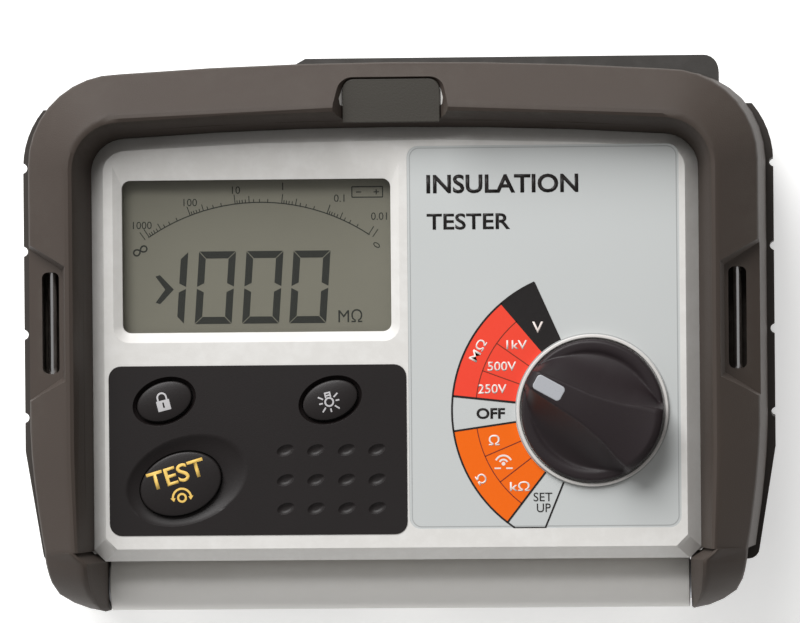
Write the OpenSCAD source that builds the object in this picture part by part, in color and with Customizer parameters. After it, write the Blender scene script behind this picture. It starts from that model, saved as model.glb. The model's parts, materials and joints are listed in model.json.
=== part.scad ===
// Insulation resistance tester: a handheld bench-and-field meter with a fold-under lid.
// Frame: X across the panel, Y from the hinge edge to the socket edge, Z up from the table.
// The origin is at the centre of the footprint, on the table.

/* [Overall] */
// Width across the side grips
grip_w = 202; // [199:1:207]
// Height of the bumper's ridge above the table
ridge_z = 75; // [74:0.5:75]
// Height of the front panel's face above the table
panel_z = 62; // [61.5:0.1:62]
// Height of the joint between the two case halves
parting_z = 42; // [41.5:0.5:42.5]

/* [Case] */
// Thickness of the moulded case walls
wall = 2.5; // [2:0.1:3]
// Thickness of the rubber overmould
rubber_t = 3; // [2.5:0.1:3.2]
// Height of the case's underside above the table
under_z = 9.5; // [9:0.5:10]
// Radius of the rear corners, seen from above
corner_r = 24; // [20:1:26]

/* [Panel] */
// Width of the display window
window_w = 71.8; // [60:0.1:74]
// Height of the display window
window_h = 40.7; // [34:0.1:42]
// Width of the black key panel
keys_w = 79.5; // [76:0.1:80]
// Height of the black key panel
keys_h = 45.2; // [42:0.1:46]
// How far each key travels
key_travel = 1.2; // [0.6:0.1:1.3]

/* [Range knob] */
// Radius of the knob's base
knob_r = 18.9; // [17:0.1:19]
// Height of the knob's grip above the table
knob_top_z = 74.6; // [72:0.1:74.8]
// Outer radius of the collar round the knob
collar_r = 20.2; // [20:0.1:20.9]
// Radius of the switch spindle
spindle_r = 3; // [2.5:0.1:3.2]
// Angle of the pointer at rest, from +X towards +Y
pointer_deg = 151; // [121:15:241]

/* [Lid and hinge] */
// Radius of the hinge barrel between the arms
barrel_r = 7.5; // [7:0.1:7.5]
// Distance between the two hinge axes
link_l = 34.8; // [34:0.1:35]
// Thickness of the lid
lid_t = 2.4; // [2:0.1:2.6]

/* [Batteries] */
// Radius of one AA cell
cell_r = 7.25; // [7:0.05:7.3]
// Length of one AA cell
cell_l = 50.5; // [50:0.1:50.5]

/* [Hidden] */

abs_grey = [0.78, 0.78, 0.76];
abs_dark = [0.22, 0.21, 0.19];
bumper_brown = [0.27, 0.24, 0.22];
key_black = [0.09, 0.085, 0.085];
gap = 0.1;

// Upper outline: the bumper seen from above
bumper_w = 97;
bumper_rear = 72;
rear_bow = 2.5;
taper_y = -25;
taper_x = 4.3;
well_w = 81;
well_rear = 55;
well_corner_r = 9;
edge_drop = 7;
flare = 2;
front_y = -58.3;
lip_z = ridge_z - 17.6;
core_roof = ridge_z - 20.1;

// Lower outline
lower_w = 98.5;
lower_rear = 69;
rail_in = 84.5;
floor_z = under_z + 3;
foot_z = 4;

// Hinge
hinge_y = -66.5;
hinge_z = 42;
lid_axis_z = hinge_z - link_l;
ear_in = 78.2;
ear_out = 83.2;
ear_r = 6.9;
stub_r = 5.2;
pin_r = 1.5;
knuckle_r = 3.6;
lid_w = 82.5;
lid_front_w = 77;
lid_wide_y = -48;
rim_t = 2;
rim_low = lid_axis_z - lid_t / 2 - 5;

// Panel places
plate_under_z = panel_z - 3.5;
window_c = [-36.8, 20.95];
keys_c = [-36.7, -30.8];
label_c = [39.75, -1.15];
label_w = 72.3;
label_h = 101.9;
knob_c = [52.5, -20.9];
small_keys = [[-61.6, -17.6], [-17.3, -17.6]];
test_c = [-57.4, -39.6];
small_key = [7.4, 4.9];
test_size = [11, 8];
key_tilt = 20;
key_gap = 0.5;

// Insides
board_z = 49.4;
board_top = 51;
bay_y = -10;
bay_w = 104;
bay_h = 60;
bay_roof = 30.5;
cell_pitch = 14.8;
cell_z = 20.6;
door_y = -6;
door_screw_y = 26.5;
socket_xs = [4.75, 28.75, 52.75];
socket_z = 28;
socket_face = 74;
boss_ys = [-48, 52];
post_ys = [-6, 46];

// ---------- shape helpers ----------
function arc(c, r, a0, a1, n) = [for (i = [0:n]) c + r * [cos(a0 + (a1 - a0) * i / n), sin(a0 + (a1 - a0) * i / n)]];
function rounded_box(c, w, h, r, n = 6) = concat(
    arc(c + [w / 2 - r, h / 2 - r], r, 0, 90, n), arc(c + [r - w / 2, h / 2 - r], r, 90, 180, n),
    arc(c + [r - w / 2, r - h / 2], r, 180, 270, n), arc(c + [w / 2 - r, r - h / 2], r, 270, 360, n));
function oval(c, a, b, n = 40) = [for (i = [0:n - 1])
    let (t = 360 * i / n, x = a * cos(t), y = b * sin(t))
    c + [x * cos(key_tilt) - y * sin(key_tilt), x * sin(key_tilt) + y * cos(key_tilt)]];
function flip_x(p) = [for (i = [len(p) - 1:-1:0]) [-p[i][0], p[i][1]]];
function at_z(p, z) = [for (q = p) [q[0], q[1], z]];

// An end face, as triangles laced across it from its first and last points
function lace(n) = [for (k = [0:ceil(n / 2) - 2]) each concat([[k, k + 1, n - 1 - k]],
    k + 1 < n - 2 - k ? [[k + 1, n - 2 - k, n - 1 - k]] : [])];
// A solid through a list of closed rings with the same number of points
module skin(rings) {
    n = len(rings[0]);
    m = len(rings);
    polyhedron(points = [for (r = rings) each r], faces = concat(
        lace(n),
        [for (i = [0:m - 2], j = [0:n - 1]) each [
            [i * n + j, (i + 1) * n + j, (i + 1) * n + (j + 1) % n],
            [i * n + j, (i + 1) * n + (j + 1) % n, i * n + (j + 1) % n]]],
        [for (t = lace(n)) [for (q = [2, 1, 0]) (m - 1) * n + t[q]]]));
}
module prism(p, z0, z1) { translate([0, 0, z0]) linear_extrude(z1 - z0) polygon(p); }
module disc(c, r, z0, z1) { translate([c[0], c[1], z0]) cylinder(r = r, h = z1 - z0, $fn = 48); }
module block(x0, x1, y0, y1, z0, z1) { translate([x0, y0, z0]) cube([x1 - x0, y1 - y0, z1 - z0]); }
module both_sides() { children(); mirror([1, 0, 0]) children(); }
module along_x(x0, x1, y, z, r) {
    translate([x0, y, z]) rotate([0, 90, 0]) cylinder(r = r, h = x1 - x0, $fn = 48);
}
module along_y(x, y0, y1, z, r) {
    translate([x, y1, z]) rotate([90, 0, 0]) cylinder(r = r, h = y1 - y0, $fn = 48);
}

// ---------- the bumper's ring ----------
// One station is [outer point, inner point, bottom height, ridge height]
rear_outer = [for (x = [0:12:72]) [x, bumper_rear - rear_bow * pow(x / 73, 2)]];
rear_inner = [for (x = [0:12:72]) [x, well_rear - rear_bow * pow(x / 73, 2)]];
corner_outer = arc([bumper_w - corner_r, 45.5], corner_r, 80, 0, 8);
corner_inner = arc([well_w - well_corner_r, 43.5], well_corner_r, 80, 0, 8);
side_ys = [30, 10, -10, taper_y, -32, -39, -46, -53, -57.5];
function side_x(y) = bumper_w - taper_x * pow(max(0, taper_y - y) / 37, 1.5);
function ridge_at(y) = y > -56 ? ridge_z : 50 + (ridge_z - 50) * sqrt(max(0, 1 - pow((y + 56) / 18, 2)));
function nose_low(y) = y > -61.45 ? parting_z : hinge_z - 12 * sqrt(max(0, 1 - pow((y + 60) / 14.2, 2)));
ring_right = concat(
    [for (i = [0:len(rear_outer) - 1]) [rear_outer[i], rear_inner[i], parting_z, ridge_z]],
    [for (i = [0:8]) [corner_outer[i], corner_inner[i], parting_z, ridge_z]],
    [for (y = side_ys) [[side_x(y), y], [well_w, y], parting_z, ridge_at(y)]]);
nose_points = [[side_x(-57.5), -57.5, 82.2], [93.4, -58.4, 81.4], [93.2, -60.4, ear_in], [93, -61.4, ear_in],
    [93, -61.5, ear_in], [92.6, -63.5, ear_in], [92, -65.7, ear_in], [90.3, -68.9, ear_in],
    [86.8, -71.4, ear_in], [83, -73.2, ear_in], [80.5, -74, ear_in]];
nose_right = [for (p = nose_points) [[p[0], p[1]], [p[2], p[1]], nose_low(p[1]), ridge_at(p[1])]];
function flip_stations(s) = [for (i = [len(s) - 1:-1:0])
    [[-s[i][0][0], s[i][0][1]], [-s[i][1][0], s[i][1][1]], s[i][2], s[i][3]]];
function whole(s) = concat(flip_stations(s), [for (i = [1:len(s) - 1]) s[i]]);
function on(s, u, z) = let (p = s[0] + (s[1] - s[0]) * u) [p[0], p[1], z];
function flare_at(s) = flare * max(0, min(1, (abs(s[0][0]) - 73) / 20));
// Sections run from the outer foot over the ridge to the well
function bumper_section(s) = let (r = s[3], w = norm(s[1] - s[0])) [
    on(s, -flare_at(s) / w, s[2]), on(s, 0, r - edge_drop - 1.2), on(s, 0.6 / w, r - edge_drop),
    on(s, 0.58, r - 1.1), on(s, 0.65, r - 0.25), on(s, 0.71, r), on(s, 0.77, r - 0.4), on(s, 0.82, r - 2.2),
    on(s, 0.9, r - 8), on(s, 1, r - 16), on(s, 1, lip_z), on(s, 0.8125, lip_z), on(s, 0.8125, s[2])];
function core_section(s, d, low) = let (r = s[3], w = norm(s[1] - s[0])) [
    on(s, (rubber_t + d - (d > 0 ? 0 : flare_at(s))) / w, low), on(s, (rubber_t + d) / w, r - edge_drop - 2.5 - d),
    on(s, 0.56, r - 4.2 - d), on(s, 0.66 - 0.3 * d / w, r - 5 - d), on(s, 0.8125 - d / w, lip_z - d * 0.4),
    on(s, 0.8125 - d / w, low)];
function arm_section(s) = let (r = s[3], w = norm(s[1] - s[0])) [
    on(s, 0, s[2]), on(s, 0, r - edge_drop - 1.2), on(s, min(0.3, 0.6 / w), r - edge_drop), on(s, 0.58, r - 1.1),
    on(s, 0.65, r - 0.25), on(s, 0.71, r), on(s, 0.77, r - 0.4), on(s, 0.82, r - 2.2),
    on(s, 0.9, max(r - 8, s[2] + 3)), on(s, 1, max(r - 16, s[2] + 1.5)), on(s, 1, s[2])];
module core_ring(d, low) { skin([for (s = whole(ring_right)) core_section(s, d, low)]); }
// A scoop round the strap slot, longer at the outer edge, with its floor parallel to the bumper's face
function scoop_ring(grow, lift) = [for (p = [[87.8, -10.9], [112, -26.5], [112, 33], [87.8, 17.4]])
    let (x = p[0] < 90 ? p[0] - grow : p[0], y = p[1] + (p[1] > 0 ? grow : -grow))
    [x, y, 69.8 - (x - 87.4) * 0.528 + lift]];
module strap_scoop(d) {
    skin([scoop_ring(d / 2, -d), scoop_ring(d / 2 + 3.4, 14)]);
}
module strap_slot() { prism(rounded_box([91.2, 3.5], 4.8, 27, 1.6), 57, ridge_z + 1); }
module strap_bar() { translate([91.2, 20.3, 63]) rotate([90, 0, 0]) cylinder(r = 1.2, h = 33.6, $fn = 32); }
function latch_outline(grow) = rounded_box([0, 57.4 + grow / 4], 26 + 2 * grow, 20.4 + grow, 3 + grow / 2);
module latch_pocket() {
    skin([at_z(latch_outline(0), 68.5), at_z(latch_outline(2.6), ridge_z + 1)]);
}

// ---------- case halves ----------
function plate_outline(d, front) = let (
    right = concat(
        [for (x = [0:12:72]) [x, well_rear - rear_bow * pow(x / 73, 2) - d]],
        arc([well_w - well_corner_r, 43.5], well_corner_r - d, 80, 0, 8),
        [[well_w - d, -50], [well_w - d, front + 3], [well_w - d - 3, front]]))
    concat(right, [for (i = [len(right) - 1:-1:1]) [-right[i][0], right[i][1]]]);
function body_outline(w, rear, front) = let (right = concat(
        arc([w - corner_r, rear - corner_r], corner_r, 90, 0, 10), [[w, taper_y - 3]],
        arc([w - 4.5 - 4, front + 4], 4, 0, -90, 4)))
    concat(right, flip_x(right));
module ring_hollow() difference() {
    core_ring(wall, core_roof);
    both_sides() strap_scoop(4.5);
    both_sides() block(85.5, 96, -15, 22, core_roof - 1, 80);
    block(-18, 18, 52, 70, 61, 80);
}
module upper_case() color(abs_grey) {
    difference() {
        union() {
            core_ring(0, parting_z);
            skin([at_z(plate_outline(3.5, -57), panel_z), at_z(plate_outline(2.9, -57.6), panel_z - 0.6),
                at_z(plate_outline(0, -60.3), panel_z - 4), at_z(plate_outline(0, -60.3), lip_z - 2)]);
            prism(plate_outline(-3, front_y), parting_z, lip_z);
        }
        ring_hollow();
        prism(plate_outline(3.2, -55.8), parting_z - 1, plate_under_z);
        prism(body_outline(91.5, 66, -55.8), parting_z - 1, core_roof + 0.01);
        skin([at_z(rounded_box(window_c, window_w, window_h, 2.2), panel_z - 1.7),
            at_z(rounded_box(window_c + [0, 3], window_w + 4.8, window_h + 11.4, 4.4), panel_z + 0.05)]);
        prism(rounded_box(window_c, window_w, window_h, 2.2), plate_under_z - 1, panel_z);
        prism(rounded_box(keys_c, keys_w, keys_h, 3.3), panel_z - 2.2, panel_z + 1);
        prism(rounded_box(keys_c, keys_w - 5, keys_h - 5, 2), plate_under_z - 1, panel_z);
        prism(rounded_box(label_c, label_w, label_h, 3), panel_z - 0.4, panel_z + 1);
        disc(knob_c, 4.8, plate_under_z - 1, panel_z + 1);
        latch_pocket();
        both_sides() { strap_scoop(2); strap_slot(); strap_bar(); }
    }
    both_sides() for (y = boss_ys) difference() {
        disc([76, y], 4, parting_z, y > 0 ? core_roof + 0.5 : plate_under_z);
        disc([76, y], 1.25, parting_z - 1, 53);
    }
}
module latch_plate() color(abs_dark) intersection() {
    prism(latch_outline(-0.05), 68.5, 69.6);
    block(-20, 20, 55.9, 80, 60, 80);
}
module upper_bumper() color(bumper_brown) difference() {
    union() {
        skin([for (s = whole(ring_right)) bumper_section(s)]);
        both_sides() skin([for (s = nose_right) arm_section(s)]);
    }
    difference() {
        core_ring(0, parting_z);
        both_sides() strap_scoop(2);
    }
    latch_pocket();
    both_sides() {
        strap_scoop(0);
        strap_slot();
        ear();
    }
}
module strap_bar_right() color([0.8, 0.8, 0.82]) strap_bar();
module strap_bar_left() mirror([1, 0, 0]) strap_bar_right();
module ear() {
    along_x(ear_in, ear_out, hinge_y, hinge_z, ear_r);
    block(ear_in, ear_out, hinge_y, -57.9, hinge_z - ear_r, parting_z);
}
module lower_case() color(abs_dark) difference() {
    union() {
        difference() {
            union() {
                prism(body_outline(lower_w, lower_rear, -58), under_z, parting_z);
                prism(concat([[-29, 60], [86.5, 60]], arc([82.5, socket_face - 4], 4, 0, 90, 6),
                    [[-24.5, socket_face], [-29, socket_face - 2.5]]), 14, parting_z);
            }
            prism(body_outline(lower_w - wall, lower_rear - wall, -55.5), floor_z, parting_z + 1);
        }
        both_sides() intersection() {
            prism(body_outline(lower_w, lower_rear, -58), foot_z, under_z + 1);
            block(rail_in, 120, -57, 38, 0, 20);
        }
        both_sides() ear();
        block(-8, 8, 65.8, 67.8, 3, under_z + 1);
        block(-bay_w / 2 - 2, bay_w / 2 + 2, bay_y - bay_h / 2 - 2, bay_y + bay_h / 2 + 2, under_z, bay_roof);
        disc([0, door_screw_y], 4, under_z, 24);
        both_sides() {
            for (y = boss_ys) disc([76, y], 4.5, under_z, parting_z);
            for (y = post_ys) disc([68, y], 3, under_z, board_z);
        }
    }
    block(-bay_w / 2, bay_w / 2, bay_y - bay_h / 2, bay_y + bay_h / 2, 0, bay_roof - 1.5);
    prism(rounded_box([0, door_y], 110.4, 74.4, 3), 0, 11.4);
    disc([0, door_screw_y], 1.25, 0, 22);
    block(-22, 80, 59, 80, 17, 39);
    difference() {
        prism(body_outline(97.9, 68.4, -57.4), parting_z - 1.2, parting_z + 1);
        prism(body_outline(96.7, 67.2, -56.2), 0, 80);
    }
    both_sides() {
        along_x(ear_in - 1, ear_out + 1, hinge_y, hinge_z, stub_r);
        for (y = boss_ys) {
            disc([76, y], 1.7, 0, parting_z + 1);
            disc([76, y], 3.4, 0, floor_z);
        }
        for (y = post_ys) disc([68, y], 1, 40, board_z + 1);
    }
}
module case_seal() color(key_black) difference() {
    prism(body_outline(97.9, 68.4, -57.4), parting_z - 1.2, parting_z);
    prism(body_outline(96.7, 67.2, -56.2), 0, 80);
}
module side_grip_right() color(bumper_brown) difference() {
    prism(concat(arc([grip_w / 2 - corner_r, 45.5], corner_r, 40, 0, 6), [[grip_w / 2, taper_y - 6]],
        arc([grip_w / 2 - 4.5 - 3, -58.3], 3, 0, -90, 4), [[rail_in, -61.3], [rail_in, 60.93]]), 0, parting_z - 0.5);
    prism(body_outline(lower_w, lower_rear, -58), foot_z, 60);
    block(0, 120, 38, 80, -1, 12);
    for (i = [-2:2]) disc([grip_w / 2 + 0.2, 0.4 + 22.4 * i], 1.3, -1, 60);
}
module side_grip_left() mirror([1, 0, 0]) side_grip_right();
module case_screws() color([0.6, 0.6, 0.62]) both_sides() for (y = boss_ys) difference() {
    union() {
        disc([76, y], 3, floor_z - 2.4, floor_z);
        disc([76, y], 1.25, floor_z - 0.1, 51);
    }
    disc([76, y], 1.2, 0, floor_z - 1);
}

// ---------- display ----------
module display_window() color([0.7, 0.72, 0.68]) prism(rounded_box(window_c, 76, 45, 2), plate_under_z - 1.5, plate_under_z);
module display_seal() color(key_black) difference() {
    prism(rounded_box(window_c, 76, 45, 2), 56, plate_under_z - 1.5);
    prism(rounded_box(window_c, 73, 42, 2), 55, plate_under_z);
}
module lcd_module() color([0.55, 0.54, 0.47]) {
    block(window_c[0] - 37, window_c[0] + 37, window_c[1] - 21.5, window_c[1] + 21.5, 54, 56);
    block(window_c[0] - 36, window_c[0] + 36, window_c[1] - 20.5, window_c[1] - 18, board_top, 54);
}
module backlight_guide() color([0.9, 0.92, 0.95])
    block(window_c[0] - 36, window_c[0] + 36, window_c[1] - 17, window_c[1] + 20.5, 51.6, 54);

// ---------- range label and knob ----------
module range_label() color([0.78, 0.79, 0.79]) difference() {
    prism(rounded_box(label_c, label_w, label_h, 3), panel_z - 0.4, panel_z - 0.1);
    disc(knob_c, collar_r, 60, 63);
}
module knob_ring() color([0.88, 0.87, 0.86]) difference() {
    disc(knob_c, collar_r, panel_z - 0.4, panel_z + 1.2);
    disc(knob_c, knob_r + 0.4, 60, 64);
}
function grip_side(s) = [for (p = [[-17.2, 6.2], [-15, 9.3], [-11, 7.6], [-7, 5.8], [-2, 4.6], [2, 3.8], [10, 3.3],
    [17.4, 2.4], [18.5, 1.2]]) [p[0], s * p[1]]];
grip_outline_points = concat(grip_side(-1), [for (i = [8:-1:0]) grip_side(1)[i]]);
module range_knob() color([0.2, 0.18, 0.18]) translate([knob_c[0], knob_c[1], 0]) rotate(pointer_deg) difference() {
    union() {
        cylinder(r = knob_r, h = 65, $fn = 72);
        prism(grip_outline_points, 64, knob_top_z);
    }
    cylinder(r = knob_r + 1, h = panel_z + 0.6, $fn = 48);
    rotate(-pointer_deg) cylinder(r = spindle_r, h = 72, $fn = 48);
    prism(rounded_box([12.8, 0], 8.5, 4.4, 1.2), knob_top_z - 0.8, 80);
}
module knob_marker() color([0.75, 0.76, 0.78]) translate([knob_c[0], knob_c[1], 0]) rotate(pointer_deg)
    prism(rounded_box([12.8, 0], 8.5, 4.4, 1.2), knob_top_z - 0.8, knob_top_z + 0.1);
module switch_spindle() color([0.75, 0.74, 0.7]) disc(knob_c, spindle_r, board_top + 0.5, 72);
module rotary_switch() color([0.85, 0.83, 0.78]) difference() {
    union() {
        block(knob_c[0] - 12, knob_c[0] + 12, knob_c[1] - 12, knob_c[1] + 12, board_top, 56.4);
        disc(knob_c, 4.6, 56.4, 60);
    }
    disc(knob_c, spindle_r + 0.05, 0, 61);
}

// ---------- keys ----------
// A smooth hollow in the key panel's face, from a small oval at its foot to a larger one at the face
module hollow(c, size, c_face, size_face, deep, n) {
    skin([for (k = [[0, 0], [0.4, 0.2], [0.75, 0.6], [1, 1.1]])
        let (s = size + (size_face - size) * k[0])
        at_z(oval(c + (c_face - c) * k[0], s[0], s[1], n), panel_z + 0.2 - deep * (1 - k[1]))]);
}
module key_panel() color(key_black) difference() {
    prism(rounded_box(keys_c, keys_w, keys_h, 3.3), panel_z - 2.2, panel_z + 0.2);
    for (c = small_keys) {
        prism(oval(c, small_key[0] + key_gap, small_key[1] + key_gap), 50, 70);
        hollow(c, small_key + [0.3, 0.3], c, small_key + [1.4, 1.4], 1.4, 40);
    }
    prism(oval(test_c, test_size[0] + key_gap, test_size[1] + key_gap), 50, 70);
    hollow(test_c, test_size + [0.3, 0.3], test_c + [1.7, 1.1], [17.5, 11.8], 1.5, 40);
    for (x = [-29.4, -21.3, -13.1, -5], y = [-30.9, -38.8, -46.4])
        hollow([x, y], [0.8, 0.4], [x, y], [2.5, 1.5], 0.7, 20);
}
module key_mat() color([0.5, 0.5, 0.48]) {
    block(-72, -3, -50, -11.5, board_top, board_top + 2);
    for (c = concat(small_keys, [test_c])) disc(c, 4.5, board_top + 2, 55.7);
}
module key(c, size) {
    prism(oval(c, size[0], size[1]), 59, panel_z + 1.2);
    prism(oval(c, size[0] + 1.2, size[1] + 1.2), 57.4, 59);
}
module lock_key() color([0.16, 0.15, 0.15]) key(small_keys[0], small_key);
module backlight_key() color([0.16, 0.15, 0.15]) key(small_keys[1], small_key);
module test_key() color([0.11, 0.1, 0.1]) key(test_c, test_size);

// ---------- circuit board ----------
module main_board() color([0.1, 0.35, 0.2]) difference() {
    block(-71.5, 71.5, -52, 50, board_z, board_top);
    both_sides() for (y = post_ys) disc([68, y], 1.1, 40, 60);
}
module board_screws() color([0.7, 0.7, 0.72]) both_sides() for (y = post_ys) {
    disc([68, y], 2.2, board_top, board_top + 1.6);
    disc([68, y], 1, board_top - 8, board_top);
}
module microcontroller() color([0.12, 0.12, 0.13]) {
    block(13, 27, 28, 42, board_top + 0.4, board_top + 1.9);
    for (i = [0:11]) {
        block(12, 28, 29 + i * 1.05, 29.4 + i * 1.05, board_top, board_top + 0.4);
        block(14 + i * 1.05, 14.4 + i * 1.05, 27, 43, board_top, board_top + 0.4);
    }
}
module measuring_chips() color([0.13, 0.13, 0.14]) for (x = [40, 54], y = [16, 30])
    block(x, x + 8, y, y + 6, board_top, board_top + 1.8);
module sounder() color([0.15, 0.15, 0.15]) difference() {
    disc([24, 10], 11, board_top, board_top + 5.5);
    disc([24, 10], 2, board_top + 4, 60);
}
module inverter_transformer() color([0.75, 0.65, 0.3]) {
    block(-62, -38, 28, 48, 33.4, 36.4);
    block(-58, -42, 30, 46, 36.4, 46.4);
    block(-62, -38, 28, 48, 46.4, board_z);
}
module relays() color([0.85, 0.85, 0.82]) for (x = [-29, -15]) block(x, x + 10, 28, 48, board_z - 11, board_z);
module capacitors() color([0.2, 0.25, 0.45]) for (y = [8, -20]) disc([-62, y], 5, board_z - 16, board_z);
module inductor() color([0.6, 0.35, 0.15]) difference() {
    disc([60, -24], 6.5, board_z - 9, board_z);
    disc([60, -24], 2, 30, board_z - 2);
}
module fuse() color([0.85, 0.87, 0.85]) along_y(62, 0, 20, 44, 2.5);
module fuse_clips() color([0.8, 0.65, 0.35]) for (y = [1, 15]) difference() {
    block(58.5, 65.5, y, y + 4, 42.5, board_z);
    along_y(62, y - 1, y + 5, 44, 2.5);
    block(59, 65, y - 1, y + 5, 46.6, 48.6);
}
module battery_connector() color([0.92, 0.91, 0.88]) block(-6, 6, 23, 28, board_z - 8, board_z);

// ---------- batteries ----------
module battery_cells() color([0.2, 0.3, 0.25]) for (i = [0:3], x = [-cell_l, 0.05]) {
    y = bay_y + (i - 1.5) * cell_pitch;
    along_x(x + 1, x + cell_l - 1.1, y, cell_z, cell_r);
    along_x(x + cell_l - 1.1, x + cell_l - 0.1, y, cell_z, 2.75);
}
module battery_springs() color([0.75, 0.76, 0.78]) for (i = [0:3])
    along_x(-bay_w / 2 + 0.4, -cell_l + 1, bay_y + (i - 1.5) * cell_pitch, cell_z, 2.5);
module battery_contacts() color([0.75, 0.76, 0.78]) for (i = [0:3]) {
    y = bay_y + (i - 1.5) * cell_pitch;
    block(-bay_w / 2, -bay_w / 2 + 0.4, y - 5, y + 5, 14, 27);
    block(bay_w / 2 - 0.5, bay_w / 2, y - 5, y + 5, 14, 27);
}
module battery_door() color(abs_dark) difference() {
    prism(rounded_box([0, door_y], 110, 74, 3), under_z, under_z + 1.8);
    disc([0, door_screw_y], 1.5, 0, 20);
    disc([0, door_screw_y], 3.4, 0, under_z + 1.2);
    for (i = [0:4]) block(-24, 24, -34 + i * 2.4, -32.8 + i * 2.4, 0, under_z + 0.6);
}
module battery_door_screw() color([0.6, 0.6, 0.62]) difference() {
    union() {
        disc([0, door_screw_y], 3.2, under_z, under_z + 1.2);
        disc([0, door_screw_y], 1.25, under_z + 1.1, 20);
    }
    block(-2.4, 2.4, door_screw_y - 0.5, door_screw_y + 0.5, 0, under_z + 0.6);
}

// ---------- sockets ----------
module socket_panel() color(key_black) difference() {
    block(-22, 80, socket_face - 3, socket_face - 1, 17, 39);
    for (x = socket_xs) along_y(x, 0, 80, socket_z, 7);
}
module socket_body(x) difference() {
    union() {
        along_y(x, 56, socket_face - 1, socket_z, 7);
        along_y(x, socket_face - 1, socket_face, socket_z, 9);
    }
    along_y(x, 58.5, 80, socket_z, 4.3);
    along_y(x, 50, 60, socket_z, 3);
}
module socket_positive() color([0.75, 0.15, 0.1]) socket_body(socket_xs[2]);
module socket_negative() color([0.08, 0.08, 0.08]) socket_body(socket_xs[1]);
module socket_guard() color([0.15, 0.35, 0.6]) socket_body(socket_xs[0]);
module socket_contacts() color([0.85, 0.7, 0.35]) for (x = socket_xs) difference() {
    along_y(x, 51, 71, socket_z, 3);
    along_y(x, 52.5, 80, socket_z, 2);
}

// ---------- lid and its hinge ----------
module hinge_stubs() color([0.72, 0.72, 0.74]) both_sides() along_x(72, ear_out, hinge_y, hinge_z, stub_r);
link_knuckles = [[-77, -60], [-10, 10], [60, 77]];
lid_knuckles = [[-59.5, -10.5], [10.5, 59.5]];
module lid_link() color(abs_grey) difference() {
    union() {
        along_x(-77.7, 77.7, hinge_y, hinge_z, barrel_r);
        block(-77, 77, hinge_y - 1.5, hinge_y + 1.5, lid_axis_z + knuckle_r + 0.5, hinge_z - 4);
        for (k = link_knuckles) {
            along_x(k[0], k[1], hinge_y, lid_axis_z, knuckle_r);
            block(k[0], k[1], hinge_y - 1.5, hinge_y + 1.5, lid_axis_z, hinge_z - 4);
        }
    }
    along_x(-80, 80, hinge_y, hinge_z, stub_r + 0.05);
    along_x(-80, 80, hinge_y, lid_axis_z, pin_r);
}
module lid_hinge_pin() color([0.72, 0.72, 0.74]) along_x(-77, 77, hinge_y, lid_axis_z, pin_r);
function lid_outline(d) = let (right = concat(
    [for (x = [0:12:72]) [x, 56.3 - 2.4 * pow(x / 72, 2) - d]],
    arc([lid_w - 10, 43.7], 10 - d, 75, 0, 6), [[lid_w - d, lid_wide_y + 4], [lid_front_w - d, lid_wide_y - 2]],
    [[lid_front_w - d, hinge_y + 4.2 + d]]))
    concat(right, [for (i = [len(right) - 1:-1:1]) [-right[i][0], right[i][1]]]);
module lid() color(abs_dark) difference() {
    union() {
        prism(lid_outline(0), rim_low, lid_axis_z + lid_t / 2);
        block(-13, 13, 50, 65, lid_axis_z - lid_t / 2, lid_axis_z + lid_t / 2);
        for (k = lid_knuckles) {
            along_x(k[0], k[1], hinge_y, lid_axis_z, knuckle_r);
            block(k[0], k[1], hinge_y, hinge_y + 5, lid_axis_z - lid_t / 2, lid_axis_z + lid_t / 2);
        }
    }
    prism(lid_outline(rim_t), 0, lid_axis_z - lid_t / 2);
    along_x(-80, 80, hinge_y, lid_axis_z, pin_r + 0.05);
}
module lid_label() color([0.78, 0.79, 0.79])
    prism(rounded_box([0, 2], 130, 86, 4), lid_axis_z - lid_t / 2 - 0.3, lid_axis_z - lid_t / 2);

upper_case();
upper_bumper();
latch_plate();
lower_case();
side_grip_left();
side_grip_right();
case_seal();
case_screws();
strap_bar_left();
strap_bar_right();
display_window();
display_seal();
lcd_module();
backlight_guide();
range_label();
knob_ring();
key_panel();
key_mat();
lock_key();
backlight_key();
test_key();
range_knob();
knob_marker();
switch_spindle();
rotary_switch();
main_board();
board_screws();
microcontroller();
measuring_chips();
sounder();
inverter_transformer();
relays();
capacitors();
inductor();
fuse();
fuse_clips();
battery_connector();
battery_cells();
battery_springs();
battery_contacts();
battery_door();
battery_door_screw();
socket_panel();
socket_positive();
socket_negative();
socket_guard();
socket_contacts();
hinge_stubs();
lid_link();
lid_hinge_pin();
lid();
lid_label();
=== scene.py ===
"""The looks of an insulation resistance tester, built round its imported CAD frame."""

import json
import math

import bmesh
import bpy
from mathutils import Matrix, Vector


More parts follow.
